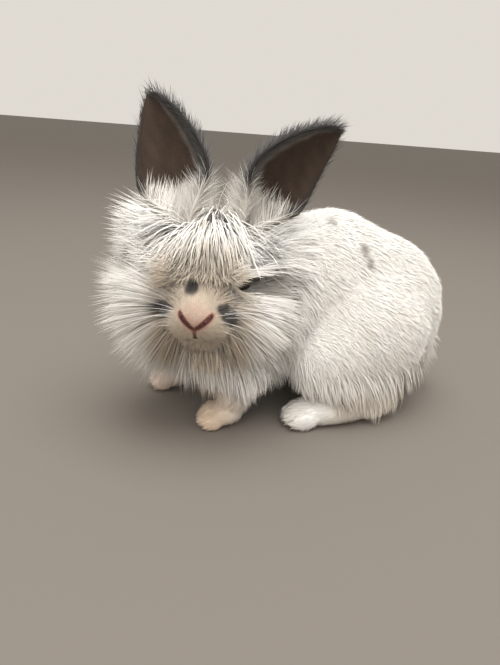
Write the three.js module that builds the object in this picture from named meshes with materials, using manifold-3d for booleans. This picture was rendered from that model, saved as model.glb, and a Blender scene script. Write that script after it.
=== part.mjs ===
// Lionhead rabbit sitting on the floor with its face turned to its left: a still, life-size model.
// Millimetres, +Z up. The trunk points along -Y and the rabbit's left is +X. Soles rest at z = 0.
import * as THREE from 'three';
import { mergeVertices } from 'three/addons/utils/BufferGeometryUtils.js';
import Module from 'manifold-3d';

const wasm = await Module();
wasm.setup();

// Gap between nodes that touch, and the least height of any lock over the floor
const GAP = 0.3;
const FLOOR_CLEAR = 1.6;

// Where the nose tip is, how far the face turns from -Y towards +X, and how far it looks down
const NOSE_TIP = [66, 63, 79];
const FACE_TURN = 67;
const FACE_DIP = 15;

// Radius of the soft joins between the masses of each form
const TRUNK_BLEND = 16;
const HEAD_BLEND = 7;
const HAUNCH_BLEND = 10;
const TOE_BLEND = 2.2;
const TAIL_BLEND = 6;

// How finely each form is divided: a ball of detail d has 20 (d + 1)^2 faces
const TRUNK_DETAIL = 6;
const HEAD_DETAIL = 7;
const COLLAR_DETAIL = 4;
const HAUNCH_DETAIL = 4;
const FOOT_DETAIL = 4;
const TAIL_DETAIL = 2;
const EYE_DETAIL = 2;

const EYE_RADIUS = 7.4;
const EYE_PLACE = [17, 36, 9];
const EYE_OUTWARDS = [0.92, -0.34, 0.16];
const LID_THICKNESS = 1.7;
const LID_OPENING = [5, 5.8, 3.5];

const EAR_LENGTH = { left: 85, right: 80 };
const EAR_HALF_WIDTH = 31;
const EAR_THICKNESS = 2.6;
const EAR_ROOT = [11, 56, 20];

const FORELEG_SPREAD = 29.5;
const HIND_FOOT_SPREAD = 39;
const FORE_TOE_Y = { left: 76, right: 57 };
const HIND_TOE_Y = 128;
const TOE_SLOTS = [-1.5, -0.5, 0.5, 1.5];

// How far the root of each lock is sunk, and how far one side of a lock may lie off the flesh
const ROOT_SUNK = 3;
const LOCK_LIFT = 1.4;
const EYE_CLEAR = 11;
// A lock whose root would lie deeper than this in another form is left out
const ROOT_HIDDEN = 2.5;

const SIDES = [{ word: 'left', side: 1 }, { word: 'right', side: -1 }];

// A seeded draw, the same each time
let seed = 20241;
function draw(low, high) {
  seed = (seed * 1664525 + 1013904223) % 4294967296;
  return low + ((high - low) * seed) / 4294967296;
}

function turned(degreesX, degreesY, degreesZ, order = 'XYZ') {
  const angles = [degreesX, degreesY, degreesZ].map(THREE.MathUtils.degToRad);
  return new THREE.Quaternion().setFromEuler(new THREE.Euler(...angles, order));
}

// The head has a frame of its own: x is its left, y runs back from the nose tip, z is up
const headTurn = turned(0, 0, FACE_TURN).multiply(turned(FACE_DIP, 0, 0));

function headPoint(place) {
  return new THREE.Vector3(...place).applyQuaternion(headTurn).add(new THREE.Vector3(...NOSE_TIP));
}

function headDirection(aim) {
  return new THREE.Vector3(...aim).applyQuaternion(headTurn).normalize();
}

function mirrored(place, side) {
  return [place[0] * side, place[1], place[2]];
}

function onBothSides(make) {
  return SIDES.map(({ side }) => make(side));
}

// Masses: eggs of flesh and coat that flow into each other
function mass(centre, radii, turn = new THREE.Quaternion()) {
  return {
    centre: new THREE.Vector3(...centre),
    radii: new THREE.Vector3(...radii),
    back: turn.clone().invert(),
  };
}

function headMass(centre, radii) {
  return mass(headPoint(centre).toArray(), radii, headTurn);
}

function heightOverMass(point, one) {
  const local = point.clone().sub(one.centre).applyQuaternion(one.back).divide(one.radii);
  const scaled = local.length();
  const steepness = local.divide(one.radii).length();
  return steepness === 0 ? -Math.min(...one.radii.toArray()) : (scaled * (scaled - 1)) / steepness;
}

function heightOver(point, masses, blend) {
  return masses.reduce((lowest, one) => {
    const own = heightOverMass(point, one);
    const overlap = Math.max(blend - Math.abs(lowest - own), 0) / blend;
    return Math.min(lowest, own) - (overlap * overlap * blend) / 4;
  }, Infinity);
}

function outwardAt(point, masses, blend) {
  const step = 0.5;
  const slope = ['x', 'y', 'z'].map((axis) => {
    const ahead = point.clone();
    const behind = point.clone();
    ahead[axis] += step;
    behind[axis] -= step;
    return heightOver(ahead, masses, blend) - heightOver(behind, masses, blend);
  });
  return new THREE.Vector3(...slope).normalize();
}

// Where a ray from inside reaches the height `grow` over the masses, found by halving
function surfacePoint({ masses, blend }, from, direction, grow = 0) {
  const halvings = 24;
  let inside = 0;
  let beyond = 200;
  for (let i = 0; i < halvings; i += 1) {
    const middle = (inside + beyond) / 2;
    const here = from.clone().addScaledVector(direction, middle);
    if (heightOver(here, masses, blend) < grow) inside = middle;
    else beyond = middle;
  }
  return from.clone().addScaledVector(direction, inside);
}

// A closed body: the points of a ball are moved out from the heart to the surface of the masses
function bodyOver(form, grow = 0) {
  const ball = new THREE.IcosahedronGeometry(1, form.detail);
  ball.deleteAttribute('normal');
  ball.deleteAttribute('uv');
  const geometry = mergeVertices(ball);
  const places = geometry.attributes.position;
  const stretch = new THREE.Vector3(...(form.stretch ?? [1, 1, 1]));
  const direction = new THREE.Vector3();
  for (let i = 0; i < places.count; i += 1) {
    direction.fromBufferAttribute(places, i).multiply(stretch).normalize();
    const point = surfacePoint(form, form.heart, direction, grow);
    const lowest = form.floor === undefined ? -Infinity : form.floor;
    places.setXYZ(i, point.x, point.y, Math.max(point.z, lowest));
  }
  return geometry;
}

// Joining and cutting
function toSolid(geometry) {
  const bare = geometry.clone();
  bare.deleteAttribute('normal');
  bare.deleteAttribute('uv');
  const merged = mergeVertices(bare);
  const vertProperties = new Float32Array(merged.attributes.position.array);
  const triVerts = new Uint32Array(merged.index.array);
  return new wasm.Manifold(new wasm.Mesh({ numProp: 3, vertProperties, triVerts }));
}

function joined(solids) {
  return solids.reduce((sum, solid) => sum.add(solid));
}

function cutClear(solid, rooms) {
  return rooms.reduce((rest, room) => rest.subtract(room), solid);
}

function largest(solid) {
  return solid.decompose().reduce((best, piece) => (piece.volume() > best.volume() ? piece : best));
}

function toMesh(name, solid, material) {
  const { vertProperties, triVerts } = largest(solid).getMesh();
  const geometry = new THREE.BufferGeometry();
  geometry.setAttribute('position', new THREE.BufferAttribute(new Float32Array(vertProperties), 3));
  geometry.setIndex(new THREE.BufferAttribute(new Uint32Array(triVerts), 1));
  const mesh = new THREE.Mesh(geometry, material);
  mesh.name = name;
  return mesh;
}

function egg(centre, radii, turn, detail) {
  const geometry = new THREE.IcosahedronGeometry(1, detail);
  geometry.scale(...radii);
  geometry.applyQuaternion(turn);
  geometry.translate(...centre.toArray());
  return toSolid(geometry);
}

// Trunk: rump, loin and shoulders
const torsoForm = {
  masses: [
    mass([0, 199, 60], [43, 58, 58]),
    mass([0, 166, 76], [42, 48, 56]),
    mass([0, 134, 68], [35, 32, 42]),
  ],
  blend: TRUNK_BLEND,
  heart: new THREE.Vector3(0, 165, 66),
  stretch: [0.8, 1.3, 1],
  detail: TRUNK_DETAIL,
};

// Neck and chest: the cores under the mane and the bib
const neckForm = {
  masses: [mass([1, 108, 84], [37, 22, 35]), mass([1, 99, 92], [30, 18, 28])],
  blend: TRUNK_BLEND,
  heart: new THREE.Vector3(1, 103, 87),
  detail: COLLAR_DETAIL,
};
const chestForm = {
  masses: [mass([12, 80, 58], [29, 22, 24]), mass([10, 96, 50], [34, 24, 23])],
  blend: TRUNK_BLEND,
  heart: new THREE.Vector3(8, 86, 55),
  detail: COLLAR_DETAIL,
};

// Head: cranium, back of the head, muzzle, chin, jaws, brows, upper lips, nose and lids
const lidRadius = EYE_RADIUS + LID_THICKNESS;
const headForm = {
  masses: [
    headMass([0, 46, 8], [21, 27, 19]),
    headMass([0, 57, 7], [35, 20, 28]),
    headMass([0, 48, -13], [27, 17, 17]),
    headMass([0, 19, 2.5], [12.5, 19, 13]),
    headMass([0, 14, -12], [7, 9.5, 5.5]),
    ...onBothSides((side) => headMass([side * 12, 38, -7], [12, 20, 14])),
    ...onBothSides((side) => headMass([side * 15.5, 36, 15], [7, 11, 6])),
    ...onBothSides((side) => headMass([side * 6, 9.5, -4.5], [7.5, 9, 7])),
    headMass([0, 5, 1.5], [8.5, 5.5, 5.5]),
    ...onBothSides((side) => headMass(mirrored(EYE_PLACE, side), [lidRadius, lidRadius, lidRadius])),
  ],
  blend: HEAD_BLEND,
  heart: headPoint([0, 34, 2]),
  detail: HEAD_DETAIL,
};

function eyeBall(side, grow = 0) {
  const size = EYE_RADIUS + grow;
  return egg(headPoint(mirrored(EYE_PLACE, side)), [size, size, size], headTurn, EYE_DETAIL);
}

// The slit between the lids, long from corner to corner, on the outer side of the ball
function lidOpening(side) {
  const outwards = new THREE.Vector3(...mirrored(EYE_OUTWARDS, side)).normalize();
  const place = new THREE.Vector3(...mirrored(EYE_PLACE, side)).addScaledVector(outwards, EYE_RADIUS);
  const upwards = new THREE.Vector3(0, 0, 1).addScaledVector(outwards, -outwards.z).normalize();
  const cornerwards = new THREE.Vector3().crossVectors(upwards, outwards);
  const basis = new THREE.Matrix4().makeBasis(outwards, cornerwards, upwards);
  const turn = headTurn.clone().multiply(new THREE.Quaternion().setFromRotationMatrix(basis));
  return egg(headPoint(place.toArray()), LID_OPENING, turn, EYE_DETAIL);
}

// Slits of the nostrils, the cleft under the nose and the line of the mouth
function faceCut(centre, radii, turn) {
  return egg(headPoint(centre), radii, headTurn.clone().multiply(turn), 1);
}

function nostrilCut(side) {
  return faceCut([side * 4.3, 0.6, 2.3], [5.2, 2.2, 0.8], turned(0, -side * 38, side * 16));
}

function mouthCut(side) {
  return faceCut([side * 4.6, 3.6, -9.6], [5.6, 4.2, 0.8], turned(0, side * 22, side * 24));
}

const cleftCut = faceCut([0, -0.4, -4.6], [0.7, 2.2, 4.4], turned(0, 0, 0));
const faceCuts = [...onBothSides(nostrilCut), cleftCut, ...onBothSides(mouthCut)];

// Legs
function forelegForm({ word, side }) {
  const x = side * FORELEG_SPREAD;
  const toeY = FORE_TOE_Y[word];
  return {
    masses: [
      mass([x, toeY + 32, 38], [11, 13, 20], turned(18, 0, 0)),
      mass([x, toeY + 22, 20], [9.5, 11, 16], turned(14, 0, 0)),
      mass([x, toeY + 15, 8], [9.8, 14, 8.6]),
      ...TOE_SLOTS.map((slot) =>
        mass([x + slot * 4.6, toeY + 6 + Math.abs(slot) * 1.4, 4.6], [3.1, 6.5, 5])),
    ],
    blend: TOE_BLEND,
    heart: new THREE.Vector3(x, toeY + 22, 16),
    detail: FOOT_DETAIL,
    floor: 0,
  };
}

function hindFootForm({ side }) {
  const x = side * HIND_FOOT_SPREAD;
  return {
    masses: [
      mass([x, HIND_TOE_Y + 62, 12], [10, 18, 12.5]),
      mass([x, HIND_TOE_Y + 34, 9.5], [12, 32, 11]),
      ...TOE_SLOTS.map((slot) =>
        mass([x + slot * 5.4, HIND_TOE_Y + 9 + Math.abs(slot) * 2, 6], [3.8, 9.5, 6.2])),
    ],
    blend: TOE_BLEND,
    heart: new THREE.Vector3(x, HIND_TOE_Y + 37, 9),
    stretch: [0.5, 1.6, 0.5],
    detail: FOOT_DETAIL,
    floor: 0,
  };
}

function haunchForm({ side }) {
  return {
    masses: [mass([side * 32, 186, 54], [24, 42, 40]), mass([side * 35, 158, 42], [20, 30, 27])],
    blend: HAUNCH_BLEND,
    heart: new THREE.Vector3(side * 33, 178, 50),
    detail: HAUNCH_DETAIL,
  };
}

// Short claws, mostly in the coat of the toes
function claws(x, toeY, spacing, back) {
  return TOE_SLOTS.map((slot) => {
    const claw = new THREE.ConeGeometry(1.1, 6, 4);
    claw.rotateX(THREE.MathUtils.degToRad(98));
    claw.translate(x + slot * spacing, toeY + Math.abs(slot) * back - 1, 3.4);
    return toSolid(claw);
  });
}

// Tail, held up against the rump
const tailForm = {
  masses: [mass([0, 246, 29], [11, 10, 12]), mass([0, 252, 40], [9, 7.5, 12])],
  blend: TAIL_BLEND,
  heart: new THREE.Vector3(0, 249, 34),
  detail: TAIL_DETAIL,
};

// Ears: a bent sheet, rolled to a tube at the root, open as a cup and pointed at the tip
const EAR_LIE = {
  left: { tip: [54, 32, 58], facing: [0.35, -0.88, -0.3], bow: [-15, 2, 18] },
  right: { tip: [-28, 29, 70], facing: [-0.33, -0.92, 0.1], bow: [13, 0, 4] },
};
const EAR_ACROSS = 8;
const EAR_ALONG = 12;

function earFrame({ word, side }, t) {
  const lie = EAR_LIE[word];
  const root = headPoint(mirrored(EAR_ROOT, side));
  const tip = root.clone().addScaledVector(headDirection(lie.tip), EAR_LENGTH[word]);
  const bow = new THREE.Vector3(...lie.bow).applyQuaternion(headTurn);
  const spine = new THREE.QuadraticBezierCurve3(root, root.clone().lerp(tip, 0.45).add(bow), tip);
  const tangent = spine.getTangent(t);
  const facing = headDirection(lie.facing);
  facing.addScaledVector(tangent, -facing.dot(tangent)).normalize();
  const sideways = new THREE.Vector3().crossVectors(tangent, facing);
  const widening = 0.45 + 0.55 * THREE.MathUtils.smoothstep(t, 0, 0.45);
  const narrowing = Math.max(1 - (Math.max(t - 0.45, 0) / 0.55) ** 1.7, 0) ** 0.75;
  const halfWidth = EAR_HALF_WIDTH * widening * narrowing + 1;
  const rolled = THREE.MathUtils.smoothstep(t, 0, 0.5);
  const halfArc = THREE.MathUtils.degToRad(THREE.MathUtils.lerp(150, 58, rolled));
  return { middle: spine.getPoint(t), tangent, facing, sideways, radius: halfWidth / halfArc, halfArc };
}

function earPoint(frame, u, depth) {
  const angle = u * frame.halfArc;
  return frame.middle.clone()
    .addScaledVector(frame.sideways, (frame.radius - depth) * Math.sin(angle))
    .addScaledVector(frame.facing, frame.radius - (frame.radius - depth) * Math.cos(angle));
}

function earSheet(ear, grow = 0) {
  const outer = [];
  const inner = [];
  for (let i = 0; i <= EAR_ALONG; i += 1) {
    const t = i / EAR_ALONG;
    const frame = earFrame(ear, t);
    frame.halfArc += grow / frame.radius;
    if (i === EAR_ALONG) frame.middle.addScaledVector(frame.tangent, grow);
    for (let j = 0; j <= EAR_ACROSS; j += 1) {
      const u = (2 * j) / EAR_ACROSS - 1;
      const thickness = EAR_THICKNESS * (1 - 0.5 * Math.abs(u)) * (1 - 0.35 * t);
      outer.push(earPoint(frame, u, -grow));
      inner.push(earPoint(frame, u, thickness + grow));
    }
  }
  return toSolid(closedSheet(outer, inner, EAR_ALONG, EAR_ACROSS));
}

// Two like grids of points closed into one thin body
function closedSheet(outer, inner, along, across) {
  const faces = [];
  const row = across + 1;
  const under = outer.length;
  const quad = (a, b, c, d) => faces.push(a, b, c, a, c, d);
  for (let i = 0; i < along; i += 1) {
    for (let j = 0; j < across; j += 1) {
      const a = i * row + j;
      quad(a, a + row, a + row + 1, a + 1);
      quad(a + under + 1, a + under + row + 1, a + under + row, a + under);
    }
    const left = i * row;
    const right = left + across;
    quad(left, left + under, left + row + under, left + row);
    quad(right + under, right, right + row, right + row + under);
  }
  for (let j = 0; j < across; j += 1) {
    const end = along * row + j;
    quad(j + 1, j + 1 + under, j + under, j);
    quad(end, end + under, end + 1 + under, end + 1);
  }
  const geometry = new THREE.BufferGeometry();
  const positions = [...outer, ...inner].flatMap((point) => point.toArray());
  geometry.setAttribute('position', new THREE.Float32BufferAttribute(positions, 3));
  geometry.setIndex(faces);
  return geometry;
}

// All the flesh that a lock may lie on
const flesh = [torsoForm, neckForm, chestForm, headForm, tailForm, ...SIDES.map(haunchForm),
  ...SIDES.map(hindFootForm), ...SIDES.map(forelegForm)].flatMap((form) => form.masses);

function liftOff(point, lift) {
  const height = heightOver(point, flesh, TOE_BLEND);
  if (height < lift) point.addScaledVector(outwardAt(point, flesh, TOE_BLEND), lift - height);
  point.z = Math.max(point.z, FLOOR_CLEAR + lift);
  return point;
}

// A lock: its path leaves the root, follows the lie, droops, and is kept off the flesh
const LOCK_STATIONS = [{ at: 0, width: 0.8 }, { at: 0.4, width: 1 }, { at: 0.76, width: 0.66 }];

function combLock(root, outwards, lie, { length, width, thickness, droop }) {
  const across = new THREE.Vector3().crossVectors(lie, outwards).normalize();
  const path = [root.clone().addScaledVector(outwards, -ROOT_SUNK)];
  const direction = lie.clone();
  const marks = [...LOCK_STATIONS.slice(1).map((station) => station.at), 1];
  let here = root.clone();
  let passed = 0;
  for (const mark of marks) {
    direction.z -= droop * (mark - passed);
    direction.normalize();
    here = liftOff(here.clone().addScaledVector(direction, (mark - passed) * length), LOCK_LIFT);
    path.push(here);
    passed = mark;
  }
  return { path, across, width, thickness };
}

function lockSolid({ path, across, width, thickness }, grow = 0) {
  const rings = LOCK_STATIONS.map((station, i) => {
    const along = path[i + 1].clone().sub(path[i]).normalize();
    const ridge = new THREE.Vector3().crossVectors(across, along).normalize();
    const half = (width / 2) * station.width;
    const high = thickness * station.width;
    const slant = Math.hypot(half, high) / high;
    const centre = path[i].clone().addScaledVector(ridge, -grow);
    return [
      centre.clone().addScaledVector(across, -half - grow * slant),
      centre.clone().addScaledVector(ridge, high + 2 * grow),
      centre.clone().addScaledVector(across, half + grow * slant),
    ];
  });
  const end = path[path.length - 1];
  const beyond = end.clone().sub(path[path.length - 2]).normalize();
  const points = [...rings.flat(), end.clone().addScaledVector(beyond, grow * 4)];
  const tip = points.length - 1;
  const faces = [0, 2, 1];
  for (let i = 0; i < rings.length - 1; i += 1) {
    for (let k = 0; k < 3; k += 1) {
      const a = 3 * i + k;
      const b = 3 * i + ((k + 1) % 3);
      faces.push(a, b, b + 3, a, b + 3, a + 3);
    }
  }
  const last = 3 * (rings.length - 1);
  for (let k = 0; k < 3; k += 1) faces.push(last + k, last + ((k + 1) % 3), tip);
  const geometry = new THREE.BufferGeometry();
  const positions = points.flatMap((point) => point.toArray());
  geometry.setAttribute('position', new THREE.Float32BufferAttribute(positions, 3));
  geometry.setIndex(faces);
  const solid = toSolid(geometry);
  return solid.volume() > 0 ? solid : toSolid(insideOut(geometry));
}

function insideOut(geometry) {
  const turnedOver = geometry.clone();
  turnedOver.setIndex(Array.from(geometry.index.array).reverse());
  return turnedOver;
}

// A ring of locks round a centre. In the ring's own frame y is the way the tips lean, angle 0 is
// x and angle 90 is z. Flare is how far the lie leans from straight out towards y, upShort how much
// shorter the locks on top are, and scatter how far the roots stray along y.
function lockRing(form, ring) {
  const { centre, turn, from, to, count, flare, droop, length, width, thickness } = ring;
  const { upShort = 0, scatter = 0 } = ring;
  const locks = [];
  const lean = new THREE.Vector3(0, 1, 0).applyQuaternion(turn);
  const closed = to - from === 360;
  for (let i = 0; i < count; i += 1) {
    const share = closed ? i / count : i / (count - 1);
    const jitter = (0.35 * (to - from)) / count;
    const degrees = THREE.MathUtils.lerp(from, to, share) + draw(-jitter, jitter);
    const angle = THREE.MathUtils.degToRad(degrees);
    const ray = new THREE.Vector3(Math.cos(angle), 0, Math.sin(angle)).applyQuaternion(turn);
    const root = surfacePoint(form, centre.clone().addScaledVector(lean, draw(-scatter, scatter)), ray);
    const outwards = outwardAt(root, form.masses, form.blend);
    const tilt = THREE.MathUtils.degToRad(flare + (i % 2 ? 6 : -6) + draw(-3, 3));
    const lie = ray.clone().multiplyScalar(Math.cos(tilt)).addScaledVector(lean, Math.sin(tilt));
    lie.applyAxisAngle(ray, draw(-0.22, 0.22)).normalize();
    const whole = length * (1 - upShort * Math.max(Math.sin(angle), 0));
    const size = {
      length: whole * draw(0.82, 1.12),
      width: width * draw(0.85, 1.15),
      thickness,
      droop,
    };
    if (heightOver(root, flesh, TOE_BLEND) > -ROOT_HIDDEN) {
      locks.push(combLock(root, outwards, lie, size));
    }
  }
  return locks;
}

const eyeFronts = onBothSides((side) => {
  const outwards = new THREE.Vector3(...mirrored(EYE_OUTWARDS, side)).normalize();
  const place = new THREE.Vector3(...mirrored(EYE_PLACE, side)).addScaledVector(outwards, EYE_RADIUS);
  return headPoint(place.toArray());
});

function overEye(lock) {
  return lock.path.some((point) => eyeFronts.some((front) => front.distanceTo(point) < EYE_CLEAR));
}

// Rings round the face and crown and the forelock grow on the head, those behind them on the neck
const faceRings = [
  { y: 20, from: 165, to: 375, count: 9, flare: 50, length: 19, width: 8, thickness: 1.5 },
  { y: 33, from: 150, to: 390, count: 13, flare: 30, length: 31, width: 11, thickness: 1.9 },
  { y: 46, from: 0, to: 360, count: 16, flare: 15, length: 35, width: 13, thickness: 2.5, upShort: 0.6 },
  { y: 58, from: -50, to: 230, count: 13, flare: 26, length: 30, width: 15, thickness: 2.8, upShort: 0.62 },
  { y: 68, from: 30, to: 150, count: 6, flare: 52, length: 28, width: 15, thickness: 2.8, upShort: 0.4 },
  { y: 51, from: 40, to: 140, count: 8, flare: -46, length: 31, width: 12, thickness: 1.8, droop: 1.7 },
].map((ring) => {
  return { droop: 0.35, scatter: 2, ...ring, centre: headPoint([0, ring.y, 3]), turn: headTurn };
});
const headLocks = faceRings.flatMap((ring) => lockRing(headForm, ring))
  .filter((lock) => !overEye(lock));

const collarRings = [
  { centre: [2, 98, 91], yaw: 60, dip: 12, count: 11, flare: 34, length: 34, droop: 0.9 },
  { centre: [1, 104, 88], yaw: 35, dip: 6, count: 11, flare: 52, length: 36, droop: 1.2 },
  { centre: [1, 110, 84], yaw: 10, dip: 0, count: 12, flare: 66, length: 34, droop: 1.3 },
].map((ring) => ({
  ...ring,
  centre: new THREE.Vector3(...ring.centre),
  turn: turned(0, 0, ring.yaw).multiply(turned(ring.dip, 0, 0)),
  from: 0, to: 360, width: 16, thickness: 2.8, scatter: 3,
}));
const neckLocks = collarRings.flatMap((ring) => lockRing(neckForm, ring));

// Rows that hang: the bib on the chest, and the fringe along the foot of the haunches and the rump
const hanging = turned(-90, 0, 0);
const bibLocks = [{ z: 63, count: 8 }, { z: 53, count: 9 }, { z: 44, count: 9 }].flatMap((row) =>
  lockRing(chestForm, {
    ...row, centre: new THREE.Vector3(10, 90, row.z), turn: hanging, from: -160, to: 75, flare: 54,
    droop: 0.6, length: 25, width: 14, thickness: 2.8, scatter: 3,
  }));

function fringeLocks(form, side) {
  return lockRing(form, {
    centre: new THREE.Vector3(side * 33, 182, 34), turn: hanging, flare: 52, droop: 0.4, count: 11,
    from: side > 0 ? -35 : 215, to: side > 0 ? 85 : 95,
    length: 20, width: 11, thickness: 1.6, scatter: 5,
  });
}

const rumpLocks = lockRing(torsoForm, {
  centre: new THREE.Vector3(0, 200, 34), turn: hanging, from: 45, to: 135, count: 9, flare: 52,
  droop: 0.4, length: 20, width: 11, thickness: 1.6, scatter: 5,
});

const tailLocks = [{ z: 28, flare: -25 }, { z: 38, flare: -60 }].flatMap((row) =>
  lockRing(tailForm, {
    ...row, centre: new THREE.Vector3(0, 249, row.z), turn: hanging, from: 10, to: 170, count: 4,
    droop: 0, length: 13, width: 10, thickness: 2.2, scatter: 2,
  }));

// Looks of the nodes
const shortWhite = new THREE.MeshStandardMaterial({ color: '#ece6de', roughness: 0.95, metalness: 0 });
const maneWool = new THREE.MeshStandardMaterial({ color: '#ddd3c6', roughness: 0.97, metalness: 0 });
const creamLeg = new THREE.MeshStandardMaterial({ color: '#d3b592', roughness: 0.95, metalness: 0 });
const darkEar = new THREE.MeshStandardMaterial({ color: '#3a3230', roughness: 0.92, metalness: 0 });
const wetEye = new THREE.MeshStandardMaterial({ color: '#1c1410', roughness: 0.12, metalness: 0 });

// Parts in the order in which they keep their place: a later core gives way to the earlier ones
function smoothPart(name, form, material, locks = [], extras = []) {
  const core = joined([toSolid(bodyOver(form)), ...extras]);
  return { name, material, core, room: toSolid(bodyOver(form, GAP)), locks };
}

const headPart = smoothPart('head', headForm, maneWool, headLocks);
headPart.openings = [
  ...faceCuts,
  ...onBothSides((side) => eyeBall(side, GAP)),
  ...onBothSides(lidOpening),
];
const parts = [
  smoothPart('torso', torsoForm, shortWhite, rumpLocks),
  headPart,
  smoothPart('neck', neckForm, maneWool, neckLocks),
  smoothPart('chest', chestForm, maneWool, bibLocks),
  ...SIDES.map((one) => {
    const form = haunchForm(one);
    return smoothPart(`haunch_${one.word}`, form, shortWhite, fringeLocks(form, one.side));
  }),
  ...SIDES.map((one) => smoothPart(`hind_foot_${one.word}`, hindFootForm(one), shortWhite, [],
    claws(one.side * HIND_FOOT_SPREAD, HIND_TOE_Y, 5.4, 2))),
  ...SIDES.map((one) => smoothPart(`foreleg_${one.word}`, forelegForm(one), creamLeg, [],
    claws(one.side * FORELEG_SPREAD, FORE_TOE_Y[one.word], 4.6, 1.4))),
  smoothPart('tail', tailForm, shortWhite, tailLocks),
  ...SIDES.map((one) => ({
    name: `ear_${one.word}`,
    material: darkEar,
    core: earSheet(one),
    room: earSheet(one, GAP),
    locks: [],
  })),
];

// Cores give way to cores, locks to all other cores and to the locks of the parts before them
const rabbit = new THREE.Group();
const lockRooms = [];
parts.forEach((part, i) => {
  const earlierRooms = parts.slice(0, i).map((other) => other.room);
  let solid = cutClear(part.core, earlierRooms);
  if (part.locks.length > 0) {
    const otherRooms = parts.filter((other) => other !== part).map((other) => other.room);
    const coat = joined(part.locks.map((lock) => lockSolid(lock)));
    solid = solid.add(cutClear(coat, [...otherRooms, ...lockRooms]));
    lockRooms.push(joined(part.locks.map((lock) => lockSolid(lock, GAP))));
  }
  rabbit.add(toMesh(part.name, cutClear(solid, part.openings ?? []), part.material));
});
for (const { word, side } of SIDES) {
  rabbit.add(toMesh(`eye_${word}`, eyeBall(side), wetEye));
}

// The origin is under the middle of the rabbit's own box
const box = new THREE.Box3().setFromObject(rabbit);
const middle = box.getCenter(new THREE.Vector3());
rabbit.position.set(-middle.x, -middle.y, -box.min.z);

export default rabbit;
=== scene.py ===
"""Look of the lionhead rabbit: skin, coat, mane, ears, eyes, nose, claws, floor, light and camera.

Places are in millimetres in the rabbit's stance frame (x its left, y tailwards, z up), or in the
head's own frame (x its left, y back from the nose tip, z up). place() turns them into metres.
"""

import math

import bpy
import numpy as np
from mathutils import Matrix, Vector, kdtree


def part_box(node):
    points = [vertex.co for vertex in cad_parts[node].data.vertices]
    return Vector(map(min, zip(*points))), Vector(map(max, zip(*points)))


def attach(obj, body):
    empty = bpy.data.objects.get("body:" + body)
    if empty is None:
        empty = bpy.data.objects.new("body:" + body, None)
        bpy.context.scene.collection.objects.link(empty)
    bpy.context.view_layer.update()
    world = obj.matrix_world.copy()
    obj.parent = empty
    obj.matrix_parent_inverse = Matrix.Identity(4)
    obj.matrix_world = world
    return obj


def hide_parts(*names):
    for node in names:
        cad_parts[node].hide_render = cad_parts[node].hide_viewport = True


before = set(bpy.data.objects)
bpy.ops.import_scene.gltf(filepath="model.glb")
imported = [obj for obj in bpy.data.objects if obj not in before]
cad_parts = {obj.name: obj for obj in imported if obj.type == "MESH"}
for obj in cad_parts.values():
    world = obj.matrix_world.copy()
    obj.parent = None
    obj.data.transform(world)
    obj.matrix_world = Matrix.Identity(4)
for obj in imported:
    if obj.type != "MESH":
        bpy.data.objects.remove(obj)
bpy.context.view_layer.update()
bpy.ops.object.select_all(action="DESELECT")

MM = 0.001
SEED = 7

# The head: where its nose tip is, and how many degrees it turns to its left and looks down
NOSE_TIP = np.array([66.0, 63.0, 79.0])
FACE_TURN = 67
FACE_DIP = 15
EYE_PLACE = (17, 36, 9)
EYE_RADIUS = 7.4
EYE_OUTWARDS = (0.86, -0.5, -0.06)
SIDES = {"left": 1, "right": -1}

# Legs
FORELEG_SPREAD = 29.5
HIND_FOOT_SPREAD = 39
FORE_TOE_Y = {"left": 76, "right": 57}
HIND_TOE_Y = 128
TOE_SLOTS = (-1.5, -0.5, 0.5, 1.5)
FORE_TOE_SPACING = 4.6
HIND_TOE_SPACING = 5.4

# Ears
EAR_LENGTH = {"left": 85, "right": 80}
EAR_HALF_WIDTH = 31
EAR_ROOT = (11, 56, 20)
EAR_TIP = {"left": (54, 32, 58), "right": (-28, 29, 70)}
EAR_FACING = {"left": (0.35, -0.88, -0.3), "right": (-0.33, -0.92, 0.1)}
EAR_BOW = {"left": (-15, 2, 18), "right": (13, 0, 4)}

# How far the skin lies inside the solids, by the depth of the coat there
SHORT_COAT = 4
FACE_COAT = 1.4
FOOT_COAT = 1.2
WOOL_CORE = 13
FLOOR_CLEAR = 0.4
SKIN_VOXEL = 1.5


def unit(vectors):
    vectors = np.asarray(vectors, float)
    return vectors / np.maximum(np.linalg.norm(vectors, axis=-1, keepdims=True), 1e-9)


def smooth(low, high, value):
    share = np.clip((value - low) / (high - low), 0, 1)
    return share * share * (3 - 2 * share)


def columns(*parts):
    """These parts side by side, so that each row is one place, way or spot."""
    return np.stack(np.broadcast_arrays(*parts), -1)


def turned(axis, degrees):
    return np.array(Matrix.Rotation(math.radians(degrees), 3, axis))


HEAD_TURN = turned("Z", FACE_TURN) @ turned("X", FACE_DIP)
FACE_WAY = HEAD_TURN @ np.array([0, -0.75, 0.66])


def from_head(points):
    return np.asarray(points, float) @ HEAD_TURN.T + NOSE_TIP


def to_head(points):
    return (np.asarray(points, float) - NOSE_TIP) @ HEAD_TURN


def head_way(directions):
    return unit(np.asarray(directions, float) @ HEAD_TURN.T)


# The frame's own origin, found from where the left eye was packed
eye_low, eye_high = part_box("eye_left")
SHIFT = from_head(EYE_PLACE) - np.array((eye_low + eye_high) / 2) / MM
SHIFT[2] = 0


def place(points):
    return (np.asarray(points, float) - SHIFT) * MM


# Masses of flesh: centre, radii, turn, and how deep the skin lies under the solid there
def mass(centre, radii, depth, turn=None):
    radii = np.array(radii, float) - depth
    turn = np.eye(3) if turn is None else turn
    return {"centre": np.array(centre, float), "radii": radii, "turn": turn}


def head_mass(centre, radii, depth):
    return mass(from_head(centre), radii, depth, HEAD_TURN)


def both(centre, radii, depth):
    return [head_mass((side * centre[0], centre[1], centre[2]), radii, depth) for side in SIDES.values()]


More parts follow.
